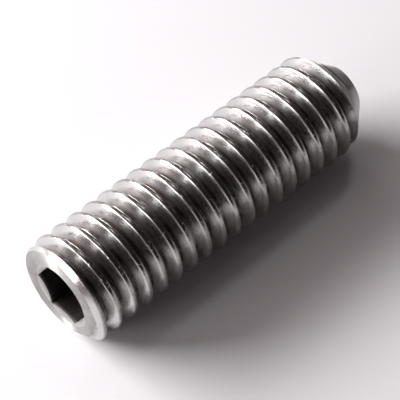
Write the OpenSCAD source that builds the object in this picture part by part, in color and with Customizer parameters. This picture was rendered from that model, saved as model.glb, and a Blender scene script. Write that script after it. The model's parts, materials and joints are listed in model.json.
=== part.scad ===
// Grub set screw: M6 x 1 x 20, hexagon socket, cup point, one turned and rolled piece of stainless steel.
// It stands on its socket end. Origin: centre of the socket end face. +Z runs to the cup point.
// Millimetres.

/* [Size] */
// Overall length, socket face to cup rim (nominal 20)
screw_len = 19.6; // [8:0.1:40]
// Thread crest diameter (nominal 6, less the usual allowance)
crest_d = 5.88; // [5.8:0.01:5.97]

/* [Thread] */
// Thread pitch
pitch = 1.0; // [0.9:0.05:1]
// Width of the flat on each thread crest
crest_flat = 0.2; // [0.14:0.01:0.22]
// Width of the rounded root at the bottom of each groove
root_flat = 0.08; // [0.08:0.01:0.2]
// How far the root's middle dips below its edges
root_dip = 0.02; // [0.01:0.01:0.03]
// Height of a crest above the socket face, on the -Y side
crest_phase = 0.2; // [0:0.005:1]
// Straight steps that make one turn of the thread
turn_steps = 48; // [24:12:48]

/* [Socket end] */
// Diameter of the flat end face
face_d = 5.3; // [4.6:0.1:5.7]
// Length of the small chamfer at the socket end
face_chamfer = 0.3; // [0.1:0.05:0.6]
// Width across flats of the key that fits
key_af = 3.0; // [2.5:0.5:3]
// Clearance across flats between key and socket
key_clearance = 0.04; // [0.02:0.01:0.08]
// Depth of the full hexagon
socket_depth = 3.6; // [2:0.1:4]
// Cone angle at the socket's bottom
socket_cone = 120; // [110:1:130]
// Cone angle of the countersunk mouth
mouth_cone = 120; // [90:5:130]
// How far the mouth stands out past the hexagon's corners
mouth_edge = 0.06; // [0.02:0.01:0.2]

/* [Cup point] */
// Length of the point's chamfer along the screw
point_len = 1.62; // [1:0.01:2]
// Outer diameter of the cup's rim
rim_d = 3.1; // [2.6:0.1:3.4]
// Width of the flat land on the rim
rim_land = 0.12; // [0.05:0.01:0.3]
// Cone angle of the cup
cup_cone = 120; // [110:1:130]

/* [Hidden] */
steel = [0.78, 0.78, 0.77];
fine = 96;
slack = 0.5;
flank = 30; // each thread flank leans this much from square to the axis
crest_r = crest_d / 2;
root_r = crest_r - (pitch - crest_flat - root_flat) / 2 / tan(flank);
socket_af = key_af + key_clearance;
socket_r = socket_af / sqrt(3);
mouth_r = socket_r + mouth_edge;
cup_r = rim_d / 2 - rim_land;

// One pitch of the thread form as radius and height; its crest is left tall and is turned down after
crest_extra = crest_r / cos(180 / turn_steps) - crest_r + 0.01;
crest_half = crest_flat / 2 - crest_extra * tan(flank);
form = [
    [crest_r + crest_extra, -crest_half],
    [crest_r + crest_extra, crest_half],
    [root_r, (pitch - root_flat) / 2],
    [root_r - root_dip, pitch / 2],
    [root_r, (pitch + root_flat) / 2]
];
np = len(form);

// The thread starts below the screw and ends above it, so the end faces cut it clean
first_z = crest_phase - 2 * pitch;
rows = (ceil(screw_len / pitch) + 2) * turn_steps;
edge_points = rows + turn_steps + 1;

function form_point(i, k) = [
    form[k][0] * sin(360 * i / turn_steps),
    -form[k][0] * cos(360 * i / turn_steps),
    form[k][1] + first_z + pitch * i / turn_steps
];
// Place k of row i; the last place of a row is the first of the row one turn on
function at(i, k) = k == 0 ? i : k == np ? i + turn_steps : edge_points + i * (np - 1) + k - 1;
low = edge_points + (rows + 1) * (np - 1);
high = low + 1;

module thread_form() {
    points = [
        for (i = [0:edge_points - 1]) form_point(i, 0),
        for (i = [0:rows], k = [1:np - 1]) form_point(i, k),
        [0, 0, first_z + pitch / 2],
        [0, 0, first_z + pitch * rows / turn_steps + pitch / 2]
    ];
    faces = [
        for (i = [0:rows - 1], k = [0:np - 1]) [at(i, k), at(i, k + 1), at(i + 1, k + 1)],
        for (i = [0:rows - 1], k = [0:np - 1]) [at(i, k), at(i + 1, k + 1), at(i + 1, k)],
        for (i = [0:turn_steps - 1]) [low, at(i, 0), at(i + 1, 0)],
        for (k = [0:np - 1]) [low, at(0, k + 1), at(0, k)],
        for (i = [rows:rows + turn_steps - 1]) [high, at(i + 1, 0), at(i, 0)],
        for (k = [0:np - 1]) [high, at(rows, k), at(rows, k + 1)]
    ];
    polyhedron(points = points, faces = faces, convexity = 12);
}

// The turned blank: flat socket end with its chamfer, and the long chamfer of the cup point
module blank() {
    rotate_extrude($fn = fine)
        polygon([
            [0, 0],
            [face_d / 2, 0],
            [crest_r, face_chamfer],
            [crest_r, screw_len - point_len],
            [rim_d / 2, screw_len],
            [0, screw_len]
        ]);
}

// Broached hexagon over a drilled bottom, with a countersunk mouth
module socket() {
    cone_h = socket_af / 2 / tan(socket_cone / 2);
    mouth_h = (mouth_r + slack) / tan(mouth_cone / 2);
    translate([0, 0, -slack])
        rotate([0, 0, 90])
            cylinder(r = socket_r, h = socket_depth + slack, $fn = 6);
    translate([0, 0, socket_depth])
        cylinder(r1 = socket_af / 2, r2 = 0, h = cone_h, $fn = fine);
    translate([0, 0, -slack / tan(mouth_cone / 2)])
        cylinder(r1 = mouth_r + slack, r2 = 0, h = mouth_h, $fn = fine);
}

module cup() {
    cup_h = (cup_r + slack) / tan(cup_cone / 2);
    translate([0, 0, screw_len + slack / tan(cup_cone / 2) - cup_h])
        cylinder(r1 = 0, r2 = cup_r + slack, h = cup_h, $fn = fine);
}

module set_screw() {
    color(steel)
        difference() {
            intersection() {
                thread_form();
                blank();
            }
            socket();
            cup();
        }
}

set_screw();
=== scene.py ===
import json
import math

import bmesh
import bpy
from mathutils import Matrix, Vector


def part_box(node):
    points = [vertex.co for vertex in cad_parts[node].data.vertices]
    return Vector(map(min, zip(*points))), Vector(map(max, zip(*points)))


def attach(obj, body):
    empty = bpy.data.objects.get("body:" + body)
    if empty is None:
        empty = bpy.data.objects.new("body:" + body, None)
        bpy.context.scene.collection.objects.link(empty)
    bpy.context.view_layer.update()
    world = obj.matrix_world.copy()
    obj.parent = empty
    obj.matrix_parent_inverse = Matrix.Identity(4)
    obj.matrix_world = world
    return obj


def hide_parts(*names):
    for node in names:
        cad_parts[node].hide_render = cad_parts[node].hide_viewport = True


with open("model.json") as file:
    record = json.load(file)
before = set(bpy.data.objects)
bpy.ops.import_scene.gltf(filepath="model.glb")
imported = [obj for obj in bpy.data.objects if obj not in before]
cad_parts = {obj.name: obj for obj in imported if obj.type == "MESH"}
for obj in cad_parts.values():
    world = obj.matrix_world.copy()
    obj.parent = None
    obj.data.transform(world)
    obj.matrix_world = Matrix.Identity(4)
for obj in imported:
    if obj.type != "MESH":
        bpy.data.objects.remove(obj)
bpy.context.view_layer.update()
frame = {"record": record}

mm = 0.001
mounts = {mount["name"]: mount for mount in frame["record"]["mounts"]}
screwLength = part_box("set_screw")[1].z / mm
crestRadius = mounts["thread"]["dims"]["r_mm"]
print("frame loaded: set screw", round(screwLength, 2), "mm long")


# mesh helpers; the screw is built in millimetres and scaled to metres at the end

def meshFromLists(name, points, faces):
    mesh = bpy.data.meshes.new(name)
    mesh.from_pydata(points, [], faces)
    mesh.update()
    obj = bpy.data.objects.new(name, mesh)
    bpy.context.scene.collection.objects.link(obj)
    return obj


def revolve(name, profile, steps):
    # profile: (radius, height) from the lower axis point to the upper one
    points, faces = [(0.0, 0.0, profile[0][1])], []
    rings = profile[1:-1]
    for radius, height in rings:
        for i in range(steps):
            a = 2 * math.pi * i / steps
            points.append((radius * math.cos(a), radius * math.sin(a), height))
    top = len(points)
    points.append((0.0, 0.0, profile[-1][1]))
    last = 1 + (len(rings) - 1) * steps
    for i in range(steps):
        j = (i + 1) % steps
        faces.append((0, 1 + j, 1 + i))
        for k in range(len(rings) - 1):
            below, above = 1 + k * steps, 1 + (k + 1) * steps
            faces.append((below + i, below + j, above + j, above + i))
        faces.append((top, last + i, last + j))
    return meshFromLists(name, points, faces)


def roundedPath(corners, radius, steps=4):
    # rounds the inner corners of an open path of (x, y) points
    longest = 0.45   # the most of a side that one round takes
    path = [corners[0]]
    for before, here, after in zip(corners, corners[1:], corners[2:]):
        corner = Vector(here)
        back, on = Vector(before) - corner, Vector(after) - corner
        half = back.angle(on) / 2
        reach = min(radius / math.tan(half), back.length * longest, on.length * longest)
        start = corner + back.normalized() * reach
        end = corner + on.normalized() * reach
        for i in range(steps + 1):
            t = i / steps
            path.append(tuple(start * (1 - t) ** 2 + corner * 2 * t * (1 - t) + end * t ** 2))
    path.append(corners[-1])
    return path


def cut(target, cutter, operation):
    modifier = target.modifiers.new("cut", "BOOLEAN")
    modifier.operation = operation
    modifier.solver = "EXACT"
    modifier.object = cutter
    depsgraph = bpy.context.evaluated_depsgraph_get()
    mesh = bpy.data.meshes.new_from_object(target.evaluated_get(depsgraph))
    target.modifiers.clear()
    old, used = target.data, cutter.data
    target.data = mesh
    bpy.data.objects.remove(cutter)
    bpy.data.meshes.remove(old)
    bpy.data.meshes.remove(used)


# the screw's shape, in millimetres and degrees

threadForm = {
    "pitch": 1.0,
    "crestFlat": 0.20,            # width of a crest before its corners are rounded
    "crestRound": (0.05, 0.07),   # how far the rounded corners reach down the two flanks of a crest
    "crestSteps": 7,
    "crestInside": 0.002,         # crests stay this far inside the solid's
    "rootFlat": 0.08,             # width of a groove's bottom before it is rounded
    "rootRound": 0.06,            # how far the rounded bottom reaches up the flanks
    "rootDip": 0.02,
    "rootSteps": 8,
    "crestPhase": 0.20,           # a crest stands this far above the socket face, on the -Y side
    "flankAngle": 30.0,
    "stepsPerTurn": 120,
}
blankForm = {
    "faceRadius": 2.65,
    "faceChamfer": 0.30,
    "rimRadius": mounts["cup_point"]["dims"]["r_mm"],
    "rimLand": 0.12,
    "pointLength": 1.62,
    "cupAngle": 120.0,
    "edgeRound": 0.04,
    "clear": 0.03,                # the blank stands this far outside the crests, so they stay whole
    "steps": 240,
}
socketForm = {
    "acrossFlats": 3.04,
    "depth": mounts["hex_socket"]["dims"]["length_mm"],
    "cornerRound": 0.05,          # each corner is broken this far along its two sides
    "cornerDip": 0.3,             # and this share of that inwards
    "bottomAngle": 120.0,
    "mouthAngle": 132.0,
    "mouthEdge": 0.06,            # how far the mouth stands out past the hexagon's corners
}
cutterForm = {
    "slack": 0.4,                 # how far a cutter stands out of the screw
    "drillInset": 0.01,           # keeps the drilled cone just inside the flats
    "drillOverlap": 0.2,
    "drillSteps": 96,
    "sinkSteps": 192,
    "sharpAngle": 32.0,           # edges that turn more than this are shaded crisp
}


def flankSlope(form):
    return math.tan(math.radians(form["flankAngle"]))


def rootRadius(form, radius):
    return radius - (form["pitch"] - form["crestFlat"] - form["rootFlat"]) / 2 / flankSlope(form)


def crestSide(form, radius, depth):
    # from a crest's middle over its rounded corner and down to this depth on the flank, as (height, radius)
    corner = form["crestFlat"] / 2
    end = corner + depth * flankSlope(form)
    side = []
    for i in range(form["crestSteps"] + 1):
        t = i / form["crestSteps"]
        side.append((2 * t * (1 - t) * corner + t * t * end, radius - t * t * depth))
    return side


def grooveBottom(form, root):
    # one smooth curve from flank to flank, as (height, radius)
    pitch = form["pitch"]
    foot = pitch / 2 - form["rootFlat"] / 2
    start = foot - form["rootRound"] * flankSlope(form)
    low, high = root - form["rootDip"], root + form["rootRound"]
    heights = (start, foot, pitch - foot, pitch - start)
    radii = (high, low, low, high)
    bottom = []
    for i in range(form["rootSteps"] + 1):
        t = i / form["rootSteps"]
        weights = ((1 - t) ** 3, 3 * t * (1 - t) ** 2, 3 * t * t * (1 - t), t ** 3)
        height = sum(weight * z for weight, z in zip(weights, heights))
        radius = sum(weight * r for weight, r in zip(weights, radii))
        bottom.append((height, radius))
    return bottom


def threadProfile(form, radius):
    # one pitch, crest middle to crest middle, as (height, radius)
    bottom = grooveBottom(form, rootRadius(form, radius))
    foot = bottom[0]
    sides = []
    for depth in form["crestRound"]:
        side = crestSide(form, radius, depth)
        top = side[-1]
        side.append(((top[0] + foot[0]) / 2, (top[1] + foot[1]) / 2))
        sides.append(side)
    lower, upper = sides
    return lower + bottom + [(form["pitch"] - height, r) for height, r in reversed(upper[1:])]


def makeThread(form, radius, length):
    # the profile goes up a helix that starts below the screw and ends above it
    profile = threadProfile(form, radius)
    count, steps, pitch = len(profile), form["stepsPerTurn"], form["pitch"]
    rows = (math.ceil(length / pitch) + 2) * steps
    crestPoints = rows + steps + 1
    firstHeight = form["crestPhase"] - 2 * pitch

    def place(i, k):
        height, r = profile[k]
        a = 2 * math.pi * i / steps
        return (r * math.sin(a), -r * math.cos(a), height + firstHeight + pitch * i / steps)

    def at(i, k):
        # the last place of a row is the first of the row one turn on
        if k == 0:
            return i
        if k == count:
            return i + steps
        return crestPoints + i * (count - 1) + k - 1

    points = [place(i, 0) for i in range(crestPoints)]
    points += [place(i, k) for i in range(rows + 1) for k in range(1, count)]
    low = len(points)
    high = low + 1
    points.append((0, 0, firstHeight + pitch / 2))
    points.append((0, 0, firstHeight + pitch * rows / steps + pitch / 2))

    faces = []
    for i in range(rows):
        for k in range(count):
            faces.append((at(i, k), at(i + 1, k), at(i + 1, k + 1), at(i, k + 1)))
    faces += [(low, i + 1, i) for i in range(steps)]
    faces += [(low, at(0, k), at(0, k + 1)) for k in range(count)]
    faces += [(high, i, i + 1) for i in range(rows, rows + steps)]
    faces += [(high, at(rows, k + 1), at(rows, k)) for k in range(count)]
    return meshFromLists("setScrew", points, faces)


def makeBlank(form, radius, length):
    # the turned blank: both chamfers carry on out to its own radius
    outer = radius + form["clear"]
    face, rim = form["faceRadius"], form["rimRadius"]
    faceChamfer = (outer - face) * form["faceChamfer"] / (radius - face)
    pointLength = (outer - rim) * form["pointLength"] / (radius - rim)
    corners = [(0, 0), (face, 0), (outer, faceChamfer),
               (outer, length - pointLength), (rim, length), (0, length)]
    return revolve("blank", roundedPath(corners, form["edgeRound"]), form["steps"])


def hexagonRadius(form):
    return form["acrossFlats"] / math.sqrt(3)


def coneHeight(radius, angle):
    return radius / math.tan(math.radians(angle / 2))


def makeHexagon(form, slack):
    # a prism with broken corners; two of them point along the Y axis
    radius = hexagonRadius(form)
    corners = []
    for i in range(6):
        a = math.radians(90 + 60 * i)
        corners.append(Vector((radius * math.cos(a), radius * math.sin(a))))
    ring = []
    for i, here in enumerate(corners):
        before, after = corners[i - 1], corners[(i + 1) % 6]
        ring.append(here + (before - here).normalized() * form["cornerRound"])
        ring.append(here - here.normalized() * form["cornerRound"] * form["cornerDip"])
        ring.append(here + (after - here).normalized() * form["cornerRound"])
    count = len(ring)
    points = [(p.x, p.y, -slack) for p in ring] + [(p.x, p.y, form["depth"]) for p in ring]
    faces = [tuple(reversed(range(count))), tuple(range(count, 2 * count))]
    faces += [(i, (i + 1) % count, count + (i + 1) % count, count + i) for i in range(count)]
    return meshFromLists("hexagon", points, faces)


def makeDrill(form, cutter):
    radius, depth = form["acrossFlats"] / 2, form["depth"]
    tip = depth + coneHeight(radius, form["bottomAngle"])
    side = radius - cutter["drillInset"]
    start = depth - cutter["drillOverlap"]
    return revolve("drill", [(0, start), (side, start), (side, depth), (0, tip)], cutter["drillSteps"])


def makeCountersink(form, cutter):
    mouth = hexagonRadius(form) + form["mouthEdge"]
    low = -coneHeight(cutter["slack"], form["mouthAngle"])
    tip = coneHeight(mouth, form["mouthAngle"])
    return revolve("countersink", [(0, low), (mouth + cutter["slack"], low), (0, tip)], cutter["sinkSteps"])


def makeCup(form, length, cutter):
    radius = form["rimRadius"] - form["rimLand"]
    tip = length - coneHeight(radius, form["cupAngle"])
    high = length + coneHeight(cutter["slack"], form["cupAngle"])
    return revolve("cup", [(0, tip), (radius + cutter["slack"], high), (0, high)], cutter["sinkSteps"])


def makeScrew():
    screw = makeThread(threadForm, crestRadius - threadForm["crestInside"], screwLength)
    cut(screw, makeBlank(blankForm, crestRadius, screwLength), "INTERSECT")
    print("thread cut to length:", len(screw.data.polygons), "faces")

    cut(screw, makeHexagon(socketForm, cutterForm["slack"]), "DIFFERENCE")
    cut(screw, makeDrill(socketForm, cutterForm), "DIFFERENCE")
    cut(screw, makeCountersink(socketForm, cutterForm), "DIFFERENCE")
    cut(screw, makeCup(blankForm, screwLength, cutterForm), "DIFFERENCE")

    screw.data.transform(Matrix.Scale(mm, 4))
    screw.data.shade_smooth()
    screw.data.set_sharp_from_angle(angle=math.radians(cutterForm["sharpAngle"]))
    print("socket and cup cut:", len(screw.data.polygons), "faces")
    return screw


# shader helpers

def addNode(tree, kind, inputs, **settings):
    made = tree.nodes.new("ShaderNode" + kind)
    for name, value in settings.items():
        setattr(made, name, value)
    for name, value in inputs.items():
        socket = made.inputs[name]
        if isinstance(value, bpy.types.NodeSocket):
            tree.links.new(value, socket)
        else:
            socket.default_value = value
    return made


def math1(tree, operation, *values):
    return addNode(tree, "Math", dict(enumerate(values)), operation=operation).outputs[0]


def plus(tree, a, b):
    return math1(tree, "ADD", a, b)


def times(tree, a, b):
    return math1(tree, "MULTIPLY", a, b)


def ramp(tree, value, start, end, low=0.0, high=1.0):
    made = addNode(tree, "MapRange", {"Value": value, "From Min": start, "From Max": end,
                                      "To Min": low, "To Max": high}, interpolation_type="SMOOTHSTEP")
    return made.outputs[0]


def noise(tree, vector, scale, detail=3.0, rough=0.6, slow=None):
    # slow: a fourth direction along which the noise changes
    inputs = {"Vector": vector, "Scale": scale, "Detail": detail, "Roughness": rough}
    if slow is None:
        return addNode(tree, "TexNoise", inputs).outputs["Fac"]
    inputs["W"] = slow
    return addNode(tree, "TexNoise", inputs, noise_dimensions="4D").outputs["Fac"]


def combine(tree, x, y, z):
    return addNode(tree, "CombineXYZ", {"X": x, "Y": y, "Z": z}).outputs[0]


def mixColor(tree, share, low, high):
    made = tree.nodes.new("ShaderNodeMix")
    made.data_type = "RGBA"
    # 0 is the factor, 6 and 7 are the two colours
    for index, value in ((0, share), (6, low), (7, high)):
        if isinstance(value, bpy.types.NodeSocket):
            tree.links.new(value, made.inputs[index])
        else:
            made.inputs[index].default_value = value
    return made.outputs[2]


def bump(tree, height, depth, below=None):
    made = addNode(tree, "Bump", {"Height": height, "Distance": depth * mm, "Strength": 1.0})
    if below is not None:
        tree.links.new(below, made.inputs["Normal"])
    return made.outputs[0]


def screwPlace(tree):
    # where a point of the screw lies: millimetres, its distance from the axis and its direction round it
    coords = addNode(tree, "TexCoord", {}).outputs["Object"]
    point = addNode(tree, "VectorMath", {0: coords, "Scale": 1 / mm}, operation="SCALE").outputs[0]
    x, y, z = addNode(tree, "SeparateXYZ", {"Vector": point}).outputs
    radius = math1(tree, "SQRT", plus(tree, times(tree, x, x), times(tree, y, y)))
    around = addNode(tree, "VectorMath", {0: combine(tree, x, y, 0.0)}, operation="NORMALIZE").outputs[0]
    flat = addNode(tree, "SeparateXYZ", {"Vector": around}).outputs
    return {"point": point, "x": x, "y": y, "z": z, "radius": radius, "cos": flat["X"], "sin": flat["Y"]}


def newGroup(name, outputs):
    group = bpy.data.node_groups.new(name, "ShaderNodeTree")
    for output in outputs:
        group.interface.new_socket(output, in_out="OUTPUT", socket_type="NodeSocketFloat")
    return group, group.nodes.new("NodeGroupOutput")


def useGroup(tree, group):
    made = tree.nodes.new("ShaderNodeGroup")
    made.node_tree = group
    return made.outputs


# effects that the steels share; scales are per millimetre and depths in millimetres

ringForm = {
    "fineScale": 26.0,
    "wideScale": 5.2,
    "change": 0.5,                # how much the rings change on the way round
    "wander": 0.02,               # and how far they stray from a true circle
    "streakLevels": (0.35, 0.65),
    "depth": 0.0022,
}
handlingForm = {
    "grainScale": 14.0,
    "grainDepth": 0.0016,
    # each direction of scratches: how it is turned and how it is stretched
    "scratchWays": (((0.4, 0.2, 1.1), (1.0, 18.0, 1.0)), ((1.2, 0.9, 0.3), (16.0, 1.0, 1.0))),
    "scratchScale": 1.4,
    "scratchLevels": (0.68, 0.76),
    "stainScale": 0.55,
    "stainLevels": (0.42, 0.68),
}
rollingForm = {
    "lineSpread": 4.2,            # size of the circle that a pitch is wrapped round: larger, finer
    "lineScale": 1.6,
    "lineChange": 0.8,            # how much the lines change on the way round
    "lineClimb": 0.12,            # and per millimetre along the screw
    "depth": 0.0035,
    "patchScale": 1.1,
    "seamWidth": (0.035, 0.10),   # the seam fades out between these, 0 being a crest's middle
    "seamPatches": (0.45, 0.6),
    "seamDip": 1.2,               # against the rolling lines
    "nickScale": 5.0,
    "nickLevels": (0.62, 0.72),
    "nickBand": (0.10, 0.015),    # how far below a crest's top nicks start, and where they show in full
    "nickDepth": 0.016,
    "dullBand": (0.08, 0.015),
    "dullPatches": (0.3, 0.6),
    "dullLeast": 0.65,
    "grimeBand": (0.0, 0.42),     # grime and painted shade thin out between these heights above the groove bottom
    "grimeShare": 0.55,
    "crustBand": (0.02, 0.12),    # and more of it ends between these
    "crustShare": 0.45,
    "grimePatches": (0.25, 0.6),
    "grimeLeast": 0.45,
}


def makeTurningRings(form):
    # fine rings left by the turning tool on any face of revolution
    group, end = newGroup("turningRings", ("Height", "Streaks"))
    at = screwPlace(group)
    way = combine(group, at["radius"], at["z"], times(group, at["cos"], form["wander"]))
    slow = times(group, at["sin"], form["change"])
    fine = noise(group, way, form["fineScale"], slow=slow)
    wide = noise(group, way, form["wideScale"], detail=1.0, rough=0.5, slow=slow)
    group.links.new(plus(group, fine, wide), end.inputs["Height"])
    group.links.new(ramp(group, fine, *form["streakLevels"]), end.inputs["Streaks"])
    return group


def makeHandling(form):
    # grain, fine scratches and stains that any bare steel of the screw carries
    group, end = newGroup("handling", ("Grain", "Scratches", "Stains"))
    point = screwPlace(group)["point"]
    grain = noise(group, point, form["grainScale"], detail=4.0, rough=0.65)
    scratches = []
    for turn, stretch in form["scratchWays"]:
        moved = addNode(group, "Mapping", {"Vector": point, "Rotation": turn, "Scale": stretch}).outputs[0]
        lines = noise(group, moved, form["scratchScale"], detail=2.0)
        scratches.append(ramp(group, lines, *form["scratchLevels"]))
    stains = ramp(group, noise(group, point, form["stainScale"]), *form["stainLevels"])
    group.links.new(grain, end.inputs["Grain"])
    group.links.new(math1(group, "MAXIMUM", *scratches), end.inputs["Scratches"])
    group.links.new(stains, end.inputs["Stains"])
    return group


def threadPhase(tree, at, form):
    # 0 on a crest's middle, 1 on the middle of the next one up
    angle = math1(tree, "ARCTAN2", at["cos"], times(tree, at["sin"], -1.0))
    turns = math1(tree, "DIVIDE", angle, 2 * math.pi)
    lift = math1(tree, "SUBTRACT", at["z"], form["crestPhase"])
    return math1(tree, "SUBTRACT", math1(tree, "DIVIDE", lift, form["pitch"]), turns)


def rollingLines(tree, at, phase, form):
    sweep = times(tree, phase, 2 * math.pi)
    way = combine(tree, times(tree, math1(tree, "COSINE", sweep), form["lineSpread"]),
                  times(tree, math1(tree, "SINE", sweep), form["lineSpread"]),
                  times(tree, at["cos"], form["lineChange"]))
    slow = plus(tree, times(tree, at["sin"], form["lineChange"]), times(tree, at["z"], form["lineClimb"]))
    return noise(tree, way, form["lineScale"], slow=slow)


def makeRolling(form):
    # what thread rolling leaves: lines along the thread, a seam and nicks on each crest, dull crests
    # and, later on, grime in each groove, which is darkened there as painted shade too
    group, end = newGroup("rolling", ("Height", "Grime", "Dull"))
    at = screwPlace(group)
    phase = threadPhase(group, at, threadForm)
    lines = rollingLines(group, at, phase, form)
    patches = noise(group, at["point"], form["patchScale"])

    def belowCrest(band):
        return ramp(group, at["radius"], crestRadius - band[0], crestRadius - band[1])

    offCrest = math1(group, "ABSOLUTE", math1(group, "SINE", times(group, phase, math.pi)))
    seam = times(group, ramp(group, offCrest, *form["seamWidth"], 1.0, 0.0),
                 ramp(group, patches, *form["seamPatches"]))
    nicks = noise(group, at["point"], form["nickScale"], detail=2.0, rough=0.5)
    nicks = times(group, ramp(group, nicks, *form["nickLevels"]), belowCrest(form["nickBand"]))
    height = math1(group, "SUBTRACT", lines, times(group, seam, form["seamDip"]))
    height = math1(group, "SUBTRACT", height, times(group, nicks, form["nickDepth"] / form["depth"]))
    dull = times(group, belowCrest(form["dullBand"]),
                 ramp(group, patches, *form["dullPatches"], form["dullLeast"], 1.0))

    low = rootRadius(threadForm, crestRadius)
    # painted shade in each groove, darkest near its bottom, together with grime
    recessShadeAndGrime = []
    for band, share in ((form["grimeBand"], form["grimeShare"]), (form["crustBand"], form["crustShare"])):
        recessShadeAndGrime.append(ramp(group, at["radius"], low + band[0], low + band[1], share, 0.0))
    patchy = ramp(group, patches, *form["grimePatches"], form["grimeLeast"], 1.0)

    group.links.new(height, end.inputs["Height"])
    group.links.new(times(group, plus(group, *recessShadeAndGrime), patchy), end.inputs["Grime"])
    group.links.new(dull, end.inputs["Dull"])
    return group


# the three steels: each has its colour, the dark one that grime takes it to, which also stands for painted
# shade in the grooves and the socket, and its roughness from the smoothest to the roughest places

wearAndShadeForm = {
    # the dark colour of grime, also used for painted shade in the grooves
    "grimeColor": (0.10, 0.075, 0.068, 1),
    "grimeRoughness": 0.7,        # of steel that grime and painted shade darken
    "unevenLevels": (0.25, 0.75),
}
threadSteelForm = {
    "color": (0.66, 0.652, 0.645, 1),
    "dark": wearAndShadeForm["grimeColor"],
    "roughness": (0.13, 0.27),
    "stains": 0.08,
    "crestDull": 0.5,             # how far a dull crest goes to the dark colour of grime and painted shade
}
turnedSteelForm = {
    "color": (0.50, 0.49, 0.482, 1),
    "dark": wearAndShadeForm["grimeColor"],
    "roughness": (0.38, 0.52),
    "stains": 0.25,
    "scratches": 0.15,
    "anisotropy": 0.9,
    "anisotropyTurn": 0.25,       # the rings spread a highlight across themselves
}
socketSteelForm = {
    "color": (0.66, 0.652, 0.645, 1),
    "dark": (0.035, 0.027, 0.025, 1),
    "roughness": (0.34, 0.50),
    "stains": 0.06,
    "darkness": 0.94,             # how far the walls are painted towards the dark colour, as shade in the socket and their oil's own colour
    "darkHeights": (-0.1, 0.3),   # and between which heights above the socket face
    "broachAcross": 22.0,         # broaching marks: fine across the walls and long down them
    "broachAlong": 0.8,
    "wallEnd": (-0.05, 0.01),     # the marks stop about the full hexagon's depth
    "ringShare": 0.3,
    "markDepth": 0.006,
}


def newSteel(name):
    steel = bpy.data.materials.new(name)
    steel.use_nodes = True
    shader = steel.node_tree.nodes["Principled BSDF"]
    shader.inputs["Metallic"].default_value = 1.0
    return steel, steel.node_tree, shader


def finishSteel(tree, shader, form, share, grimeAndShade, uneven, normal):
    # share: how far the colour goes to the dark one; uneven: what varies the roughness
    color = mixColor(tree, share, form["color"], form["dark"])
    tree.links.new(color, shader.inputs["Base Color"])
    smooth, rough = form["roughness"]
    uneven = ramp(tree, uneven, *wearAndShadeForm["unevenLevels"], smooth, rough)
    extra = times(tree, grimeAndShade, wearAndShadeForm["grimeRoughness"] - rough)
    tree.links.new(plus(tree, uneven, extra), shader.inputs["Roughness"])
    tree.links.new(normal, shader.inputs["Normal"])


def makeThreadSteel(form, rolling, handling):
    steel, tree, shader = newSteel("threadSteel")
    roll, hand = useGroup(tree, rolling), useGroup(tree, handling)
    normal = bump(tree, roll["Height"], rollingForm["depth"])
    normal = bump(tree, hand["Grain"], handlingForm["grainDepth"], normal)
    # the grooves' painted shade and grime, with the stains, take the colour towards the dark one
    grimeAndShade = math1(tree, "MULTIPLY_ADD", hand["Stains"], form["stains"], roll["Grime"])
    share = math1(tree, "MULTIPLY_ADD", roll["Dull"], form["crestDull"], grimeAndShade)
    finishSteel(tree, shader, form, share, grimeAndShade, hand["Grain"], normal)
    return steel


def makeTurnedSteel(form, rings, handling):
    steel, tree, shader = newSteel("turnedSteel")
    ring, hand = useGroup(tree, rings), useGroup(tree, handling)
    normal = bump(tree, ring["Height"], ringForm["depth"])
    normal = bump(tree, hand["Grain"], handlingForm["grainDepth"], normal)
    grimeAndShade = plus(tree, times(tree, hand["Stains"], form["stains"]),
                 times(tree, hand["Scratches"], form["scratches"]))
    finishSteel(tree, shader, form, grimeAndShade, grimeAndShade, ring["Streaks"], normal)
    shader.inputs["Anisotropic"].default_value = form["anisotropy"]
    shader.inputs["Anisotropic Rotation"].default_value = form["anisotropyTurn"]
    alongRings = addNode(tree, "Tangent", {}, direction_type="RADIAL", axis="Z").outputs[0]
    tree.links.new(alongRings, shader.inputs["Tangent"])
    return steel


def makeSocketSteel(form, rings, handling):
    # broached walls, painted dark from the mouth on as the socket's shade and their oil, and a drilled bottom
    steel, tree, shader = newSteel("socketSteel")
    ring, hand = useGroup(tree, rings), useGroup(tree, handling)
    at = screwPlace(tree)
    way = combine(tree, times(tree, at["x"], form["broachAcross"]),
                  times(tree, at["y"], form["broachAcross"]),
                  times(tree, at["z"], form["broachAlong"]))
    broach = noise(tree, way, 1.0)
    end, past = (socketForm["depth"] + step for step in form["wallEnd"])
    marks = plus(tree, times(tree, broach, ramp(tree, at["z"], end, past, 1.0, 0.0)),
                 times(tree, ring["Height"], form["ringShare"]))
    normal = bump(tree, marks, form["markDepth"])
    # painted shade inside the socket, darkest from the mouth inwards, together with its walls' oil
    recessShadeAndGrime = ramp(tree, at["z"], *form["darkHeights"])
    grimeAndShade = math1(tree, "MULTIPLY_ADD", recessShadeAndGrime, form["darkness"], times(tree, hand["Stains"], form["stains"]))
    finishSteel(tree, shader, form, grimeAndShade, grimeAndShade, hand["Grain"], normal)
    return steel


# which steel a face has; margins in millimetres
surfaceForm = {
    "faceHeight": 0.03,           # all that lies lower is the turned socket face
    "socketStart": 0.02,
    "socketMargin": (0.01, 0.1),  # sideways, and past the drilled bottom
    "pointMargin": 0.015,
    "pointLean": (0.6, 0.95),     # the point's chamfer faces outwards more than a flank, less than a crest
    "cupReach": 1.0,
}
threadSurface, turnedSurface, socketSurface = range(3)


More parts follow.
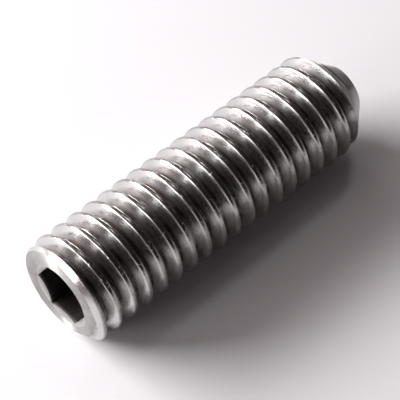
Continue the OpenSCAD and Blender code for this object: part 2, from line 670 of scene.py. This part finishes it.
def surfaceOf(face):
    x, y, z = (c / mm for c in face.center)
    radius = math.hypot(x, y)
    limits = surfaceForm

    aside, past = limits["socketMargin"]
    mouth = hexagonRadius(socketForm) + aside
    bottom = socketForm["depth"] + coneHeight(socketForm["acrossFlats"] / 2, socketForm["bottomAngle"]) + past
    if radius < mouth and limits["socketStart"] < z < bottom:
        return socketSurface

    rim = blankForm["rimRadius"]
    slope = (crestRadius - rim) / blankForm["pointLength"]
    least, most = limits["pointLean"]
    outwards = (face.normal[0] * x + face.normal[1] * y) / max(radius, 1e-6)
    nearPoint = abs(radius - rim - (screwLength - z) * slope) < limits["pointMargin"]
    onPoint = nearPoint and least < outwards < most
    onCup = z > screwLength - limits["cupReach"] and radius < rim
    if z < limits["faceHeight"] or onPoint or onCup:
        return turnedSurface
    return threadSurface


screw = makeScrew()
rings, handling, rolling = makeTurningRings(ringForm), makeHandling(handlingForm), makeRolling(rollingForm)
screw.data.materials.clear()
screw.data.materials.append(makeThreadSteel(threadSteelForm, rolling, handling))
screw.data.materials.append(makeTurnedSteel(turnedSteelForm, rings, handling))
screw.data.materials.append(makeSocketSteel(socketSteelForm, rings, handling))
for face in screw.data.polygons:
    face.material_index = surfaceOf(face)
print("steel surfaces:", [sum(face.material_index == k for face in screw.data.polygons) for k in range(3)])
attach(screw, "root")
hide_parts("set_screw")


# the camera in the screw's own frame: its place in millimetres, its right, its up and its back

cameraForm = {
    "place": (0.0, -78.036, -26.754),
    "right": (0.597154, -0.336871, 0.727960),
    "up": (-0.802119, -0.246711, 0.543819),
    "back": (-0.003601, -0.908654, -0.417535),
    "lens": 151.113,
    "sensor": 36.0,
    "clip": (0.002, 3.0),         # metres
}


def makeCamera(form):
    data = bpy.data.cameras.new("camera")
    data.lens = form["lens"]
    data.sensor_width = form["sensor"]
    data.clip_start, data.clip_end = form["clip"]
    camera = bpy.data.objects.new("camera", data)
    bpy.context.scene.collection.objects.link(camera)
    turn = Matrix((form["right"], form["up"], form["back"])).transposed()
    camera.matrix_world = Matrix.Translation(Vector(form["place"]) * mm) @ turn.to_4x4()
    bpy.context.scene.camera = camera


makeCamera(cameraForm)


# in this view the screw lies on its side: up from the floor, along the screw, and to the shadow's side

floorUp = Vector((-0.4985, -0.8669, 0.0)).normalized()
along = Vector((0, 0, 1))
side = along.cross(floorUp)
middle = along * screwLength / 2

floorForm = {
    "size": 400,                  # millimetres from the middle to each edge
    "color": (0.86, 0.85, 0.87, 1),
}


def bareMaterial(name):
    material = bpy.data.materials.new(name)
    material.use_nodes = True
    tree = material.node_tree
    tree.nodes.remove(tree.nodes["Principled BSDF"])
    return material, tree, tree.nodes["Material Output"].inputs[0]


def makeFloorPaint(form):
    # clear from below, so that the screw can be seen from any side
    material, tree, surface = bareMaterial("paleFloor")
    paint = addNode(tree, "BsdfDiffuse", {"Color": form["color"]}).outputs[0]
    clear = addNode(tree, "BsdfTransparent", {}).outputs[0]
    below = addNode(tree, "NewGeometry", {}).outputs["Backfacing"]
    tree.links.new(addNode(tree, "MixShader", {0: below, 1: paint, 2: clear}).outputs[0], surface)
    return material


def makeFloor(form):
    size = form["size"]
    base = floorUp * -crestRadius + middle
    corners = [base + along * a * size + side * b * size for a, b in ((-1, -1), (1, -1), (1, 1), (-1, 1))]
    floor = meshFromLists("floor", [tuple(c * mm) for c in corners], [(0, 1, 2, 3)])
    if floor.data.polygons[0].normal.dot(floorUp) < 0:
        floor.data.flip_normals()
    floor.data.materials.append(makeFloorPaint(form))


makeFloor(floorForm)
print("camera and floor ready")


# lamps, and a glowing dome that the steel mirrors and the camera doesn't see

studio = {
    # each lamp's place is to the side, up and along; its size is in metres
    "lamps": {
        "window": {"place": (-0.735, 0.446, -0.51), "size": (0.20, 0.066), "power": 0.98},
        "lowLamp": {"place": (-0.11, 0.321, -0.94), "size": (0.080, 0.052), "power": 0.077},
        "highLamp": {"place": (-0.215, 0.90, 0.38), "size": (0.030, 0.030), "power": 0.021},
        "sideLamp": {"place": (-0.88, 0.36, 0.31), "size": (0.080, 0.045), "power": 0.027},
    },
    "lampDistance": 0.22,
    "domeRadius": 0.40,
    "domeTurn": 34.0,
    "domeTint": (1.0, 0.79, 0.80),
    # brightness of the dome from the window's side, -1, to the shadow's side, 1
    "domeShades": ((-1.0, 0.54), (-0.6, 0.49), (-0.4, 0.35), (-0.2, 0.145), (0.0, 0.040), (0.5, 0.032),
                   (1.0, 0.018)),
    # and of the brighter band along the floor's edge, which ends at bandTop
    "bandShades": ((-1.0, 0.8), (0.0, 0.6), (0.25, 0.07), (1.0, 0.035)),
    "bandTop": 0.2,
}


def makeLamp(name, form, distance):
    data = bpy.data.lights.new(name, "AREA")
    data.shape = "RECTANGLE"
    data.size, data.size_y = form["size"]
    data.energy = form["power"]
    lamp = bpy.data.objects.new(name, data)
    bpy.context.scene.collection.objects.link(lamp)
    sideways, up, lengthwise = form["place"]
    towards = (side * sideways + floorUp * up + along * lengthwise).normalized()
    wide = floorUp.cross(towards).normalized()
    turn = Matrix((wide, towards.cross(wide), towards)).transposed()
    lamp.matrix_world = Matrix.Translation(middle * mm + towards * distance) @ turn.to_4x4()


def shadeRamp(tree, place, shades):
    made = tree.nodes.new("ShaderNodeValToRGB")
    stops = made.color_ramp.elements
    while len(stops) < len(shades):
        stops.new(0.5)
    for stop, (position, shade) in zip(stops, shades):
        stop.position = position / 2 + 0.5
        stop.color = (shade, shade, shade, 1)
    tree.links.new(place, made.inputs[0])
    return made.outputs[0]


def makeDomeCloth(form):
    # a glow that depends on the direction in the dome's own axes
    material, tree, surface = bareMaterial("domeCloth")
    coords = addNode(tree, "TexCoord", {}).outputs["Object"]
    split = addNode(tree, "SeparateXYZ", {"Vector": coords}).outputs
    place = addNode(tree, "MapRange", {"Value": split["X"], "From Min": -1.0, "From Max": 1.0}).outputs[0]
    low = ramp(tree, split["Z"], 0.0, form["bandTop"], 1.0, 0.0)
    band = times(tree, shadeRamp(tree, place, form["bandShades"]), low)
    strength = math1(tree, "MAXIMUM", shadeRamp(tree, place, form["domeShades"]), band)
    glow = addNode(tree, "Emission", {"Color": (*form["domeTint"], 1), "Strength": strength}).outputs[0]
    tree.links.new(glow, surface)
    return material


def makeDome(form):
    # half a sphere over the floor; its own X points to the shadow's side and its Z up
    mesh = bpy.data.meshes.new("dome")
    shell = bmesh.new()
    bmesh.ops.create_uvsphere(shell, u_segments=48, v_segments=24, radius=1.0)
    bmesh.ops.bisect_plane(shell, geom=shell.verts[:] + shell.edges[:] + shell.faces[:],
                           plane_co=(0, 0, 0), plane_no=(0, 0, 1), clear_inner=True)
    shell.to_mesh(mesh)
    shell.free()
    mesh.materials.append(makeDomeCloth(form))
    dome = bpy.data.objects.new("dome", mesh)
    bpy.context.scene.collection.objects.link(dome)
    shadeSide = Matrix.Rotation(math.radians(form["domeTurn"]), 3, floorUp) @ side
    turn = Matrix((shadeSide, floorUp.cross(shadeSide), floorUp)).transposed()
    base = middle * mm - floorUp * crestRadius * mm
    dome.matrix_world = Matrix.Translation(base) @ turn.to_4x4() @ Matrix.Scale(form["domeRadius"], 4)
    dome.visible_camera = False


def makeWorld():
    # white where the camera or a reflection looks past the floor, and no light of its own
    world = bpy.data.worlds.new("studio")
    world.use_nodes = True
    tree = world.node_tree
    path = addNode(tree, "LightPath", {}).outputs
    seen = math1(tree, "MAXIMUM", path["Is Camera Ray"], path["Is Glossy Ray"])
    background = tree.nodes["Background"]
    background.inputs["Color"].default_value = (1, 1, 1, 1)
    tree.links.new(seen, background.inputs["Strength"])
    bpy.context.scene.world = world


for name, lampForm in studio["lamps"].items():
    makeLamp(name, lampForm, studio["lampDistance"])
makeDome(studio)
makeWorld()

bpy.context.scene.view_settings.view_transform = "Standard"
print("scene ready")
